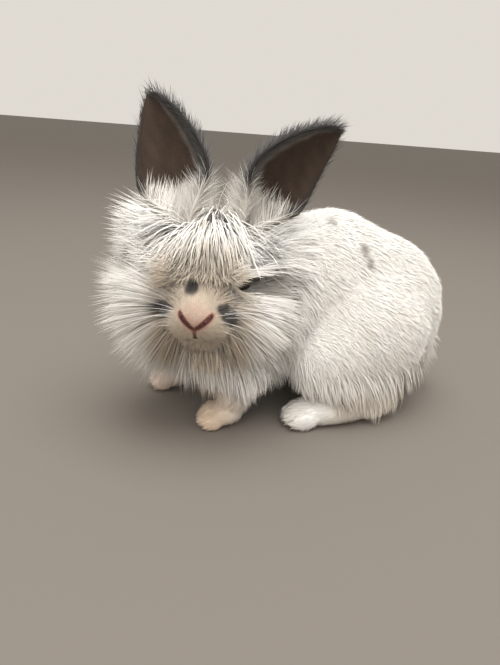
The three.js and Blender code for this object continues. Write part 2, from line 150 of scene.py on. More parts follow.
def foreleg(word):
    x = SIDES[word] * FORELEG_SPREAD
    toe = FORE_TOE_Y[word]
    toes = [
        mass((x + slot * FORE_TOE_SPACING, toe + 6 + abs(slot) * 1.4, 4.6), (3.1, 6.5, 5), 0.7)
        for slot in TOE_SLOTS
    ]
    return [
        mass((x, toe + 32, 38), (11, 13, 20), 3, turned("X", 18)),
        mass((x, toe + 22, 20), (9.5, 11, 16), 2, turned("X", 14)),
        mass((x, toe + 15, 8), (9.8, 14, 8.6), FOOT_COAT),
        *toes,
    ]


def hind_foot(word):
    x = SIDES[word] * HIND_FOOT_SPREAD
    toes = [
        mass((x + slot * HIND_TOE_SPACING, HIND_TOE_Y + 9 + abs(slot) * 2, 6), (3.8, 9.5, 6.2), 0.8)
        for slot in TOE_SLOTS
    ]
    return [
        mass((x, HIND_TOE_Y + 62, 12), (10, 18, 12.5), FOOT_COAT),
        mass((x, HIND_TOE_Y + 34, 9.5), (12, 32, 11), FOOT_COAT),
        *toes,
    ]


def haunch(word):
    side = SIDES[word]
    return [
        mass((side * 32, 186, 54), (24, 42, 40), SHORT_COAT),
        mass((side * 35, 158, 42), (20, 30, 27), SHORT_COAT),
    ]


LID_RADIUS = EYE_RADIUS + 1.7
FLESH = {
    "torso": (
        16,
        [
            mass((0, 199, 60), (43, 58, 58), SHORT_COAT),
            mass((0, 166, 76), (42, 48, 56), SHORT_COAT),
            mass((0, 134, 68), (35, 32, 42), SHORT_COAT),
        ],
    ),
    "neck": (16, [mass((1, 108, 84), (37, 22, 35), 9), mass((1, 99, 92), (30, 18, 28), 9)]),
    "chest": (16, [mass((12, 80, 58), (29, 22, 24), 8), mass((10, 96, 50), (34, 24, 23), 8)]),
    "head": (
        7,
        [
            head_mass((0, 46, 8), (21, 27, 19), 2),
            head_mass((0, 57, 7), (35, 20, 28), WOOL_CORE),
            head_mass((0, 48, -13), (27, 17, 17), 8),
            head_mass((0, 19, 2.5), (12.5, 19, 13), FACE_COAT),
            head_mass((0, 14, -12), (7, 9.5, 5.5), 0.6),
            *both((12, 38, -7), (12, 20, 14), 2),
            *both((15.5, 36, 15), (7, 11, 6), FACE_COAT),
            *both((6, 9.5, -4.8), (7.5, 9, 7), 0.1),
            head_mass((0, 5, 1.5), (8.5, 5.5, 5.5), 0.5),
            *both(EYE_PLACE, (LID_RADIUS,) * 3, FACE_COAT),
        ],
    ),
    "haunch_left": (10, haunch("left")),
    "haunch_right": (10, haunch("right")),
    "hind_foot_left": (2.2, hind_foot("left")),
    "hind_foot_right": (2.2, hind_foot("right")),
    "foreleg_left": (2.2, foreleg("left")),
    "foreleg_right": (2.2, foreleg("right")),
    "tail": (6, [mass((0, 246, 29), (11, 10, 12), 4), mass((0, 252, 40), (9, 7.5, 12), 3.5)]),
}
FORMS = list(FLESH)
FORM_BLEND = 8


def soft_least(a, b, blend):
    overlap = np.maximum(blend - np.abs(a - b), 0) / blend
    return np.minimum(a, b) - overlap * overlap * blend / 4


def height_over_mass(points, one):
    local = (points - one["centre"]) @ one["turn"] / one["radii"]
    scaled = np.linalg.norm(local, axis=1)
    steepness = np.maximum(np.linalg.norm(local / one["radii"], axis=1), 1e-6)
    return scaled * (scaled - 1) / steepness


def form_heights(points):
    heights = []
    for blend, masses in FLESH.values():
        lowest = height_over_mass(points, masses[0])
        for one in masses[1:]:
            lowest = soft_least(lowest, height_over_mass(points, one), blend)
        heights.append(lowest)
    return np.array(heights)


def skin_height(points):
    heights = form_heights(points)
    lowest = heights[0]
    for other in heights[1:]:
        lowest = soft_least(lowest, other, FORM_BLEND)
    return lowest


# Openings and slits of the face, cut into the skin: centre, radii and turn in the head's frame
def head_cut(centre, radii, turn):
    return mass(from_head(centre), radii, 0, HEAD_TURN @ turn)


def lid_frame(side):
    outwards = unit(np.array(EYE_OUTWARDS) * (side, 1, 1))
    upwards = unit(np.array([0, 0, 1]) - outwards * outwards[2])
    return columns(outwards, np.cross(upwards, outwards), upwards)


def lid_cut(side):
    outwards = lid_frame(side)[:, 0]
    centre = np.array(EYE_PLACE) * (side, 1, 1) + outwards * EYE_RADIUS
    return head_cut(centre, LID_OPENING, lid_frame(side))


def nostril_cut(side):
    turn = turned("Y", -38 * side) @ turned("Z", 16 * side)
    return head_cut((side * 4.7, 0.9, 2.3), (5.9, 2.4, 0.95), turn)


def mouth_cut(side):
    turn = turned("Y", 22 * side) @ turned("Z", 24 * side)
    return head_cut((side * 4.6, 3.8, -9.6), (5.6, 4.2, 0.6), turn)


LID_OPENING = (5, 7.4, 2.1)
LID_CUTS = [lid_cut(side) for side in SIDES.values()]
CLEFT_CUT = head_cut((0, 0, -5.2), (0.5, 2.2, 4.6), np.eye(3))
NOSTRIL_CUTS = [nostril_cut(side) for side in SIDES.values()]
MOUTH_CUTS = [mouth_cut(side) for side in SIDES.values()]


def carved_height(points):
    height = skin_height(points)
    for cut in [*LID_CUTS, *NOSTRIL_CUTS, CLEFT_CUT, *MOUTH_CUTS]:
        height = -soft_least(-height, height_over_mass(points, cut), 0.5)
    return height


def outward(points, step=0.6, surface=skin_height):
    here = surface(points)
    slope = [surface(points + step * axis) - here for axis in np.eye(3)]
    return here, unit(columns(*slope))


# Meshes and finishes
def linear(hex_colour):
    parts = np.array([int(hex_colour[i : i + 2], 16) / 255 for i in (1, 3, 5)])
    return np.where(parts <= 0.04045, parts / 12.92, ((parts + 0.055) / 1.055) ** 2.4)


def new_finish(name, sockets):
    """A material, and its main shader with these values on its sockets."""
    finish = bpy.data.materials.new(name)
    finish.use_nodes = True
    shader = finish.node_tree.nodes["Principled BSDF"]
    for socket, value in sockets.items():
        shader.inputs[socket].default_value = value
    return finish, shader


def add_node(finish, kind, links=(), inputs=None, **settings):
    node = finish.node_tree.nodes.new(kind)
    for key, value in settings.items():
        setattr(node, key, value)
    for key, value in (inputs or {}).items():
        node.inputs[key].default_value = value
    for source, target in links:
        finish.node_tree.links.new(source, node.inputs[target])
    return node


def painted_finish(name, sockets):
    """A material that shows the colours painted on its piece: marks and painted shade."""
    finish, shader = new_finish(name, sockets)
    markings_and_shade = add_node(finish, "ShaderNodeAttribute", attribute_name="coat_colour")
    finish.node_tree.links.new(markings_and_shade.outputs["Color"], shader.inputs["Base Color"])
    return finish, shader


def coat_finish(name):
    """Hair: matt keratin, which gives a soft glow at grazing light."""
    sockets = {"Roughness": 0.82, "IOR": 1.55, "Specular IOR Level": 0.25}
    return painted_finish(name, {**sockets, "Sheen Weight": 0.25, "Sheen Roughness": 0.6})[0]


GRAIN = 0.8 * MM
GRAIN_DEPTH = 0.5 * MM


def skin_finish(name):
    """Skin under the coat: matt, with the fine grain of flat short hair."""
    finish, shader = painted_finish(name, {"Roughness": 0.85})
    where = add_node(finish, "ShaderNodeTexCoord").outputs["Object"]
    grain = add_node(
        finish, "ShaderNodeTexNoise", [(where, "Vector")], {"Scale": 1 / GRAIN, "Detail": 3}
    )
    bump = add_node(
        finish, "ShaderNodeBump", [(grain.outputs["Fac"], "Height")],
        {"Strength": 0.6, "Distance": GRAIN_DEPTH},
    )
    finish.node_tree.links.new(bump.outputs["Normal"], shader.inputs["Normal"])
    return finish


def plain_finish(name, hex_colour, roughness):
    colour = (*linear(hex_colour), 1)
    return new_finish(name, {"Base Color": colour, "Roughness": roughness, "IOR": 1.5})[0]


def active_named(name):
    piece = bpy.context.object
    piece.name = name
    piece.data.name = name
    return piece


def set_mode(mode):
    bpy.ops.object.mode_set(mode=mode)


def choose(*pieces):
    bpy.ops.object.select_all(action="DESELECT")
    for piece in pieces:
        piece.select_set(True)
    bpy.context.view_layer.objects.active = pieces[0]


def apply_place(piece):
    choose(piece)
    bpy.ops.object.transform_apply(location=True, rotation=True, scale=True)


def finish_modifier(piece, kind, **settings):
    modifier = piece.modifiers.new(kind.title(), kind)
    for key, value in settings.items():
        setattr(modifier, key, value)
    choose(piece)
    bpy.ops.object.modifier_apply(modifier=modifier.name)


def join_pieces(pieces, name):
    choose(*pieces)
    bpy.ops.object.join()
    return active_named(name)


def add_object(name, data):
    piece = bpy.data.objects.new(name, data)
    bpy.context.scene.collection.objects.link(piece)
    return piece


def triples(items, field, kind=float):
    """Three numbers of each vertex, face or triangle, as rows."""
    flat = np.empty(len(items) * 3, kind)
    items.foreach_get(field, flat)
    return flat.reshape(-1, 3)


def points_of(piece):
    return triples(piece.data.vertices, "co") / MM + SHIFT


def move_points(piece, points):
    piece.data.vertices.foreach_set("co", place(points).ravel())
    piece.data.update()


def paint(piece, colours):
    layer = piece.data.attributes.new("coat_colour", "FLOAT_COLOR", "POINT")
    rgba = np.concatenate([colours, np.ones((len(colours), 1))], 1)
    layer.data.foreach_set("color", rgba.ravel())


def select_faces(piece, chosen):
    """Opens the piece in edit mode with only these faces selected."""
    set_mode("EDIT")
    bpy.ops.mesh.select_mode(type="FACE")
    bpy.ops.mesh.select_all(action="DESELECT")
    set_mode("OBJECT")
    piece.data.polygons.foreach_set("select", chosen)
    set_mode("EDIT")


def face_outwards():
    set_mode("EDIT")
    bpy.ops.mesh.select_all(action="SELECT")
    bpy.ops.mesh.normals_make_consistent(inside=False)
    set_mode("OBJECT")


def egg_piece(one, name):
    """One mass of flesh as a ball drawn out to its radii, turned and set at its place."""
    bpy.ops.mesh.primitive_ico_sphere_add(subdivisions=4, radius=MM, location=place(one["centre"]))
    ball = active_named(name)
    ball.scale = one["radii"]
    ball.rotation_euler = Matrix(one["turn"].tolist()).to_euler()
    apply_place(ball)
    return ball


# Marks and painted shade, shared by the skin and the coat
WHITE = linear("#faf8f5")
WOOL = linear("#f7f3ec")
UNDERCOAT_AND_DEPTH_SHADE = linear("#e4d6bf")
FACE_SHADE = linear("#e3d9cb")
SNOUT_TAN_AND_SHADE = linear("#c6b5a0")
NOSE_FUZZ = linear("#c6a898")
MARK_GREY = linear("#3a3532")
SOFT_GREY = linear("#7c756e")
LID_RIM = linear("#2a211d")
LEFT_PAW = linear("#ecd3ba")
RIGHT_PAW = linear("#f1dac8")
HOCK_SHADE = linear("#dccab0")
NOSE_PAD = linear("#bb9384")
NOSE_SLIT = linear("#542e28")
CLEFT_SHADE = linear("#6e4a41")
EAR_OUTSIDE = linear("#2c2929")
EAR_INSIDE = linear("#45372d")
EAR_RIM = linear("#8b8580")

# The way in which the marks of the face run out through the wool, and the sheet across it
MARK_WAY = unit([0.14, -0.84, 0.52])
MARK_SIDE = unit([0.84, 0.14, 0])
MARK_FRAME = columns(MARK_SIDE, MARK_WAY, np.cross(MARK_WAY, MARK_SIDE))
# Marks on the face: centre in the head's frame, radii across, out and up, strength
FACE_MARKS = [
    ((-3.9, 13.5, 13.8), (3.6, 9, 4.0), 1.0),
    ((-21.8, 21, -4.2), (7.6, 24, 3.9), 1.0),
    ((-21.5, 21, -7.8), (4.6, 22, 3.2), 0.85),
    ((12.2, 13, 2.5), (3.9, 16, 3.2), 1.0),
    ((14.8, 12, 0.3), (4.2, 18, 3.6), 1.0),
    ((17.6, 11, -2.0), (4.3, 18, 3.8), 1.0),
    ((26.5, 30, 2.6), (4.2, 6, 1.2), 0.55),
]
# Marks on the crown and the back, in the stance frame
BACK_MARKS = [
    ((16, 158, 127), (5, 4, 5), 0.7),
    ((32, 175, 111), (5, 4, 5), 0.9),
    ((36, 178, 104), (5, 3.5, 5), 0.9),
    # The last mark, behind the left ear's root, is partly grey hair and partly painted shadow of the ear.
    ((20, 146, 127), (7, 5, 6), 0.5),
]


SWELLS = 5


def waves(points, size, seed):
    """A smooth, seeded unevenness between about -1 and 1, with swells of the given size."""
    draw = np.random.default_rng(seed)
    ways = unit(draw.normal(size=(SWELLS, 3))) * 2 * math.pi / size * draw.uniform(0.6, 1.5, (SWELLS, 1))
    return np.sin(points @ ways.T + draw.uniform(0, 2 * math.pi, SWELLS)).mean(1) * math.sqrt(2)


def mark_share(points, marks, turn=np.eye(3)):
    share = np.zeros(len(points))
    for centre, radii, strength in marks:
        far = np.linalg.norm((points - np.array(centre)) @ turn / np.array(radii), axis=1)
        share = np.maximum(share, strength * (1 - smooth(0.65, 1.3, far)))
    return share


def blend_to(colours, target, share):
    return colours + (target - colours) * share[:, None]


def cut_distance(points, cuts):
    """How far each place is from the nearest of these cuts."""
    return np.min([height_over_mass(points, cut) for cut in cuts], axis=0)


def lid_distance(points):
    return cut_distance(points, LID_CUTS)


def slit_distance(points):
    return cut_distance(points, NOSTRIL_CUTS)


def markings_and_shade(points):
    """Colour of skin and coat at these places of the stance frame: marks, and painted shade on the face,
    snout and low rear.
    """
    local = to_head(points)
    uneven = waves(points, 9, 3)
    colours = np.repeat(WHITE[None], len(points), 0)
    colours = blend_to(colours, WOOL, 0.5 + 0.4 * waves(points, 22, 5))
    on_head = smooth(30, 20, form_heights(points)[FORMS.index("head")])
    on_face = on_head * smooth(32, 16, local[:, 1]) * smooth(34, 20, np.abs(local[:, 0]))
    # Painted shade: the face is tinted tan-grey, as it lies in shade.
    colours = blend_to(colours, FACE_SHADE, 0.85 * on_face)
    # The snout: partly its own beige, partly painted shade.
    colours = blend_to(colours, SNOUT_TAN_AND_SHADE, 0.85 * on_face * smooth(26, 12, local[:, 1]))
    from_pad = np.linalg.norm((local - np.array([0, 3, 4.5])) / np.array([8, 7, 7.5]), axis=1)
    colours = blend_to(colours, NOSE_FUZZ, 0.7 * smooth(1.3, 0.5, from_pad))
    low = smooth(34, 14, points[:, 2])
    forward = smooth(122, 108, points[:, 1])
    for word, target in (("left", LEFT_PAW), ("right", RIGHT_PAW)):
        beside = smooth(20, 12, np.abs(points[:, 0] - SIDES[word] * FORELEG_SPREAD))
        toewards = smooth(30, 4, points[:, 1] - FORE_TOE_Y[word])
        colours = blend_to(colours, target, low * forward * beside * (0.35 + 0.6 * toewards))
    # Painted shade, tan, low at the rear, where the hocks and the fringe's lower edge lie under the flank.
    heel = low * smooth(146, 168, points[:, 1])
    colours = blend_to(colours, HOCK_SHADE, 0.45 * heel)
    marked = mark_share(local + 0.8 * uneven[:, None], FACE_MARKS, MARK_FRAME)
    colours = blend_to(colours, MARK_GREY, on_head * marked)
    colours = blend_to(colours, SOFT_GREY, 0.75 * on_head * smooth(3.0, 1.0, lid_distance(points)))
    return blend_to(colours, SOFT_GREY, mark_share(points + 1.2 * uneven[:, None], BACK_MARKS))


def skin_colours(points):
    """The marks and painted shade, with the bare parts of the face: nose pad, nostrils, cleft and rims of the
    lids; painted shade darkens the nostrils, the cleft and the mouth line.
    """
    local = to_head(points)
    colours = markings_and_shade(points)
    around_slits = smooth(4.0, 0.8, slit_distance(points)) * smooth(9, 5, local[:, 1])
    colours = blend_to(colours, NOSE_PAD, around_slits)
    # Nostril slits: red-brown skin, darkened with painted shade in the openings.
    colours = blend_to(colours, NOSE_SLIT, smooth(1.3, 0.1, slit_distance(points)))
    # Painted shade in the cleft of the lip and along the mouth line.
    colours = blend_to(colours, CLEFT_SHADE, 0.8 * smooth(0.7, 0.1, height_over_mass(points, CLEFT_CUT)))
    colours = blend_to(colours, CLEFT_SHADE, smooth(0.9, 0.1, cut_distance(points, MOUTH_CUTS)))
    return blend_to(colours, LID_RIM, smooth(1.5, 0.7, lid_distance(points)))


# Skin: all the flesh as one closed surface, laid on the masses

# Places divided more finely: centre in the head's frame, reach and number of cuts
FINE_PLACES = [((0, 4, -1), 12, 2), ((0, 1, -1), 9, 1), ((20, 34, 10), 9.5, 2), ((-20, 34, 10), 9.5, 2)]
FACE_MIDDLE = np.array([0, 20, 2])
FACE_REACH = 45


def refine_near(piece, centre, reach, cuts):
    """Divides the faces near a place of the head, where the skin has fine features."""
    middles = triples(piece.data.polygons, "center")
    select_faces(piece, np.linalg.norm(middles - place(from_head(centre)), axis=1) < reach * MM)
    bpy.ops.mesh.subdivide(number_cuts=cuts)
    set_mode("OBJECT")


def make_skin():
    balls = []
    for name, (_, masses) in FLESH.items():
        balls += [egg_piece(one, f"{name}_flesh_{i}") for i, one in enumerate(masses)]
    skin = join_pieces(balls, "skin")
    finish_modifier(skin, "REMESH", mode="VOXEL", voxel_size=SKIN_VOXEL * MM)
    finish_modifier(skin, "SMOOTH", factor=0.5, iterations=4)
    points = points_of(skin)
    for _ in range(3):
        here, way = outward(points)
        points = points - way * np.clip(here, -3, 3)[:, None]
    move_points(skin, points)
    for centre, reach, cuts in FINE_PLACES:
        refine_near(skin, centre, reach, cuts)
    points = points_of(skin)
    near = np.linalg.norm(to_head(points) - FACE_MIDDLE, axis=1) < FACE_REACH
    fine = points[near]
    for _ in range(5):
        here, way = outward(fine, 0.15, carved_height)
        fine = fine - way * np.clip(here, -0.8, 0.8)[:, None]
    points[near] = fine
    points[:, 2] = np.maximum(points[:, 2], FLOOR_CLEAR)
    move_points(skin, points)
    bpy.ops.object.shade_smooth()
    paint(skin, skin_colours(points))
    skin.data.materials.append(skin_finish("skin_with_short_hair"))
    return skin


# How far apart the hairs stand in each part of the coat
SPACING = {"back": 1.02, "fringe": 1.25, "mane": 0.54, "ruff": 1.0, "face": 0.39, "legs": 1.12, "ear": 0.95}


def roots_on(piece, part, seed, keep=None):
    """Root points spread evenly by area over a piece, with the normals there."""
    mesh = piece.data
    mesh.calc_loop_triangles()
    corners = triples(mesh.loop_triangles, "vertices", int)
    points = points_of(piece)
    normals = triples(mesh.vertices, "normal")
    a, b, c = (points[corners[:, k]] for k in range(3))
    areas = np.linalg.norm(np.cross(b - a, c - a), axis=1) / 2
    middles = (a + b + c) / 3
    shares = areas / (SPACING[part] * SPREAD) ** 2 * (1 if keep is None else keep(middles))
    draw = np.random.default_rng(seed)
    count = int(shares.sum())
    steps = (np.arange(count) + draw.uniform(size=count)) * shares.sum() / count
    chosen = np.minimum(np.searchsorted(np.cumsum(shares), steps), len(corners) - 1)
    u, v = draw.uniform(size=(2, count))
    over = u + v > 1
    u[over], v[over] = 1 - u[over], 1 - v[over]
    weights = columns(1 - u - v, u, v)[..., None]
    roots = (points[corners[chosen]] * weights).sum(1)
    ways = unit((normals[corners[chosen]] * weights).sum(1))
    order = draw.permutation(count)
    return roots[order], ways[order]


# Tufts: thin tapered blades of three sides
PATCH = 0.003


def unwrap(roots):
    """Where each root lies on a sheet unrolled from the skin, with a tile for each form."""
    nearest = form_heights(roots).argmin(0)
    sheet = np.empty((len(roots), 2))
    for i, (_, masses) in enumerate(FLESH.values()):
        mine = nearest == i
        if not mine.any():
            continue
        heart = np.mean([one["centre"] for one in masses[:2]], axis=0)
        ray = unit(roots[mine] - heart)
        tile = np.array([i % 4, i // 4]) / 4
        around = np.arctan2(ray[:, 2], ray[:, 0]) / (2 * math.pi) + 0.5
        along = np.arccos(np.clip(ray[:, 1], -1, 1)) / math.pi
        sheet[mine] = tile + 0.005 + 0.235 * columns(around, along)
    return sheet


SOFT_BLADE = ((0.7, 1.0, 0.6), 0.3)
BRISTLE = ((1, 0.8, 0.4), 0.8)


def blades(name, paths, facing, widths, colours, sheet, shape=SOFT_BLADE, glow=None):
    """paths: blades x stations x 3, root to tip. Each blade has a ring of three points at every
    station but the last, which is its point. Its broad side looks the way of facing. It is shaded
    as a soft ribbon, or as the coat's own surface there where glow gives that."""
    profile, thickness = shape
    count, stations, _ = paths.shape
    rings = stations - 1
    along = unit(np.diff(paths, axis=1))
    across = unit(np.cross(along, facing[:, None, :]))
    ridge = np.cross(across, along)
    share = np.linspace(0, 1, rings)
    half = widths[:, None] * np.interp(share, np.linspace(0, 1, len(profile)), profile) / 2
    side = across * half[..., None]
    top = ridge * (half * 2 * thickness)[..., None]
    base = paths[:, :rings]
    ring_points = np.stack([base - side, base + top, base + side], 2).reshape(count, rings * 3, 3)
    points = np.concatenate([ring_points, paths[:, -1:]], 1)
    lean = 0.35 if glow is None else 0.15
    body = ridge if glow is None else np.repeat(glow[:, None], rings, 1) + 0.12 * ridge
    ring_ways = np.stack([body - lean * across, body, body + lean * across], 2).reshape(count, rings * 3, 3)
    ways = unit(np.concatenate([ring_ways, body[:, -1:]], 1))
    each = rings * 3 + 1
    faces = [(0, 2, 1)]
    for i in range(rings - 1):
        for k in range(3):
            a, b = 3 * i + k, 3 * i + (k + 1) % 3
            faces += [(a, b, b + 3), (a, b + 3, a + 3)]
    last = 3 * (rings - 1)
    faces += [(last + k, last + (k + 1) % 3, each - 1) for k in range(3)]
    faces = np.array(faces)
    corners = (faces[None] + (np.arange(count) * each)[:, None, None]).reshape(-1)
    mesh = bpy.data.meshes.new(name)
    mesh.vertices.add(count * each)
    mesh.vertices.foreach_set("co", place(points.reshape(-1, 3)).ravel())
    mesh.loops.add(len(corners))
    mesh.loops.foreach_set("vertex_index", corners)
    mesh.polygons.add(count * len(faces))
    mesh.polygons.foreach_set("loop_start", np.arange(0, len(corners), 3))
    mesh.update(calc_edges=True)
    mesh.polygons.foreach_set("use_smooth", np.ones(count * len(faces), bool))
    mesh.normals_split_custom_set_from_vertices(ways.reshape(-1, 3))
    tip_share = np.append(np.repeat(np.arange(rings) / rings, 3), 1)
    patch = columns(np.append(np.tile([0, 0.5, 1], rings), 0.5), tip_share) * PATCH
    spots = (sheet[:, None, :] + patch[None]).reshape(-1, 2)
    layer = mesh.uv_layers.new(name="OFBake")
    layer.uv.foreach_set("vector", spots[corners].ravel())
    piece = add_object(name, mesh)
    paint(piece, colours(points, tip_share).reshape(-1, 3))
    piece.data.materials.append(hair)
    return piece


# How far the hairs swirl, over how many millimetres, and how far their tips gather
SWIRL = 0.22
SWIRL_SIZE = 17
GATHERING = 0.75


def comb(roots, normals, lie, lengths, stations, lift, droop, clump, seed, stray, sink, clump_every):
    """Paths of hair: each leaves its root, follows the lie, bends down, gathers with its
    neighbours towards a shared tip, and stays over the skin."""
    draw = np.random.default_rng(seed)
    count = len(roots)
    direction = unit(lie + lift[:, None] * normals + stray * draw.normal(size=(count, 3)))
    swirl = columns(*(waves(roots, SWIRL_SIZE, seed + k) for k in range(3)))
    direction = unit(direction + SWIRL * swirl)
    paths = [roots - normals * sink]
    here = roots
    for i in range(1, stations):
        share = i / (stations - 1)
        here = here + direction * (lengths / (stations - 1))[:, None]
        height, way = outward(here)
        floor = (0.09 + 0.07 * lift) * lengths * share
        push = np.maximum(floor - height, 0)
        here = here + way * push[:, None]
        here[:, 2] = np.maximum(here[:, 2], FLOOR_CLEAR + 0.3)
        direction = unit(direction - np.array([0, 0, 1.0]) * (droop / (stations - 1))[:, None])
        paths.append(here)
    paths = np.stack(paths, 1)
    leaders = np.arange(0, count, clump_every)
    tree = kdtree.KDTree(len(leaders))
    for i, leader in enumerate(leaders):
        tree.insert(roots[leader], i)
    tree.balance()
    mine = leaders[np.array([tree.find(root)[1] for root in roots])]
    apart = (roots - roots[mine])[:, None, :]
    share = np.linspace(0, 1, stations)[None, :, None]
    gathered = paths[mine] + apart * (1 - GATHERING * share)
    return paths + (gathered - paths) * (clump[:, None, None] * share**1.2)


def along_skin(directions, normals):
    flat = directions - normals * (directions * normals).sum(1, keepdims=True)
    return unit(flat)


def nearest_form(points):
    return np.array(FORMS)[form_heights(points).argmin(0)]


# How long the coat is on the head, short at the nose and long in the ruff
def head_length(points):
    x, y, z = to_head(points).T
    reach = y + 0.32 * np.abs(x) - 0.45 * np.clip(z, 0, 16)
    reach = reach + 0.5 * np.clip(-3 - z, 0, 12) * smooth(0, 6, y)
    return 2.4 + 36 * smooth(2, 40, reach)


# Where the coat is long: 1 in the mane, 0 in the short coat
def wool_share(points):
    on_head = smooth(4, 12, head_length(points))
    back_edge = 132 + 0.12 * (points[:, 2] - 80)
    neck_part = smooth(back_edge + 14, back_edge - 14, points[:, 1])
    heights = form_heights(points)
    front = heights[[FORMS.index(n) for n in ("torso", "neck", "chest", "head")]].min(0)
    legs = heights[[FORMS.index(n) for n in ("foreleg_left", "foreleg_right")]].min(0)
    flesh = smooth(-3, 3, legs - front)
    flesh = np.maximum(flesh, 0.45 * smooth(26, 40, points[:, 2]))
    return on_head * neck_part * smooth(22, 34, points[:, 2]) * flesh


# The whorl on the crown, from which the wool falls forwards, sideways and back
WHORL = (-1, 70)
WHORL_SPREAD = 2.5


def lie_of_coat(points, normals):
    """Which way the hair lies at each place."""
    x, y, z = to_head(points).T
    height = points[:, 2]
    side = np.sign(points[:, 0])
    hanging = smooth(52, 26, height)
    sloping = -0.25 - 0.5 * np.abs(normals[:, 0]) - 0.5 * hanging
    lie = unit(columns(0.12 * side, 1 - 0.6 * hanging, sloping))
    forms = nearest_form(points)
    upper_leg = smooth(24, 38, height)
    low_leg = unit(columns(0.3 * side * upper_leg, -0.5 + 0.75 * upper_leg, -1))
    legs = np.char.startswith(forms, "foreleg")
    lie[legs] = low_leg[legs]
    paws = (legs & (height < 14)) | np.char.startswith(forms, "hind_foot")
    lie[paws] = unit([0, -1, -0.15])
    from_nose = unit(columns(x, 9, z - 2))
    stray = np.random.default_rng(SEED + 9).normal(size=(2, len(points))) * WHORL_SPREAD
    central = smooth(24, 9, np.abs(x))
    onward = (y - WHORL[1] + stray[1]) * central + 7 * (1 - central)
    from_whorl = unit(columns(x - WHORL[0] + stray[0], onward, 0))
    upper = (smooth(6, 18, z - 0.25 * np.abs(x)) * smooth(20, 30, y))[:, None]
    face = head_way(from_nose * (1 - upper) + from_whorl * upper)
    on_head = forms == "head"
    lie[on_head] = face[on_head]
    fan = smooth(-8, -2, z) * smooth(12, 5, z) * smooth(16, 24, y) * smooth(-7, -13, x)
    lie[on_head] = unit(lie[on_head] + (0.45 * fan[:, None] * head_way([0, 0, 1.0]))[on_head])
    apart, away = outward(points[on_head], 0.6, lid_distance)
    lie[on_head] = unit(lie[on_head] + 1.6 * smooth(5, 1.5, apart)[:, None] * away)
    on_neck = (forms == "neck") | (forms == "chest")
    aside = unit(columns(points[:, 0] - 2, 0.2 * (points[:, 1] - 70), 0))
    high = smooth(66, 104, height)
    down = columns(0, 0.25 + 0.95 * high, -1 + 0.6 * high)
    hang = unit(aside * (0.55 - 0.25 * high)[:, None] + down)
    lie[on_neck] = hang[on_neck]
    return lie


def strand_colours(roots, wool, seed, root_tint, darkest):
    """Colour of each hair from root to tip: the colour of the skin there, warmer towards the root, partly
    with the undercoat's own tan and partly with painted shade in the depth of the wool.
    """
    draw = np.random.default_rng(seed)
    tone = draw.uniform(darkest, 1.03, (len(roots), 1)) * (1 + 0.03 * waves(roots, 14, seed + 9))[:, None]

    def at(points, tip_share):
        own = markings_and_shade(points.reshape(-1, 3)).reshape(points.shape)
        # Towards the root: the undercoat's tan, and painted shade deep in the wool.
        tint = root_tint * (0.35 + 0.65 * wool)[:, None, None]
        tint = tint * (1 - smooth(0.0, 0.5, tip_share))[None, :, None]
        return np.clip(own * tone[:, None, :], 0, 0.97) * (1 - tint + UNDERCOAT_AND_DEPTH_SHADE * tint)

    return at


def in_place_of(piece, nodes):
    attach(piece, "root")
    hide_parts(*nodes)
    return piece


GLOW_UP = np.array([0, 0, 0.3])


def grow(
    name, roots, normals, lengths, width, stations, lift, droop, clump, seed, nodes, stray, root_tint,
    clump_every=14, sink=0.8, forward=0, calm=1, parting=None, darkest=0.92,
):
    """One piece of coat: a blade on each root, lying as the coat does there."""
    wool = wool_share(roots)
    lift, droop, clump = (np.broadcast_to(value, len(roots)) for value in (lift, droop, clump))
    facing = unit(normals + forward * FACE_WAY)
    lie = along_skin(lie_of_coat(roots, normals), normals) * np.reshape(calm, (-1, 1))
    paths = comb(roots, normals, lie, lengths, stations, lift, droop, clump, seed, stray, sink, clump_every)
    glow = unit(normals + GLOW_UP)
    if parting:
        kept = parting(paths)
        roots, facing, paths, wool, width, glow = (v[kept] for v in (roots, facing, paths, wool, width, glow))
    colours = strand_colours(roots, wool, seed + 1, root_tint, darkest)
    piece = blades(name, paths, facing, width, colours, unwrap(roots), glow=glow)
    return in_place_of(piece, nodes)


# Ears: a bent sheet, rolled at the root, open as a cup and pointed at the tip
EAR_ACROSS = 28
EAR_ALONG = 44
EAR_SKIN = 1.4
EAR_STEPS = np.linspace(0, 1, 81)
EAR_TILES = {"left": (0.0, 0.75), "right": (0.25, 0.75)}


def ear_frame(word, share):
    """Spine, tangent, facing, sideways, radius and half arc of the sheet at shares of its length."""
    root = from_head((SIDES[word] * EAR_ROOT[0], EAR_ROOT[1], EAR_ROOT[2]))
    tip = root + head_way(EAR_TIP[word]) * EAR_LENGTH[word]
    middle = root + (tip - root) * 0.45 + np.array(EAR_BOW[word]) @ HEAD_TURN.T
    share = share[:, None]
    spine = (1 - share) ** 2 * root + 2 * share * (1 - share) * middle + share**2 * tip
    tangent = unit(2 * (1 - share) * (middle - root) + 2 * share * (tip - middle))
    facing = head_way(EAR_FACING[word])[None]
    facing = unit(facing - tangent * (facing * tangent).sum(1, keepdims=True))
    sideways = np.cross(tangent, facing)
    t = share[:, 0]
    widening = 0.45 + 0.55 * smooth(0, 0.45, t)
    narrowing = np.maximum(1 - (np.maximum(t - 0.45, 0) / 0.55) ** 1.7, 0) ** 0.75
    half_width = (EAR_HALF_WIDTH - 2) * widening * narrowing + 0.6
    half_arc = np.radians(150 + (58 - 150) * smooth(0, 0.5, t))
    return spine, tangent, facing, sideways, half_width / half_arc, half_arc


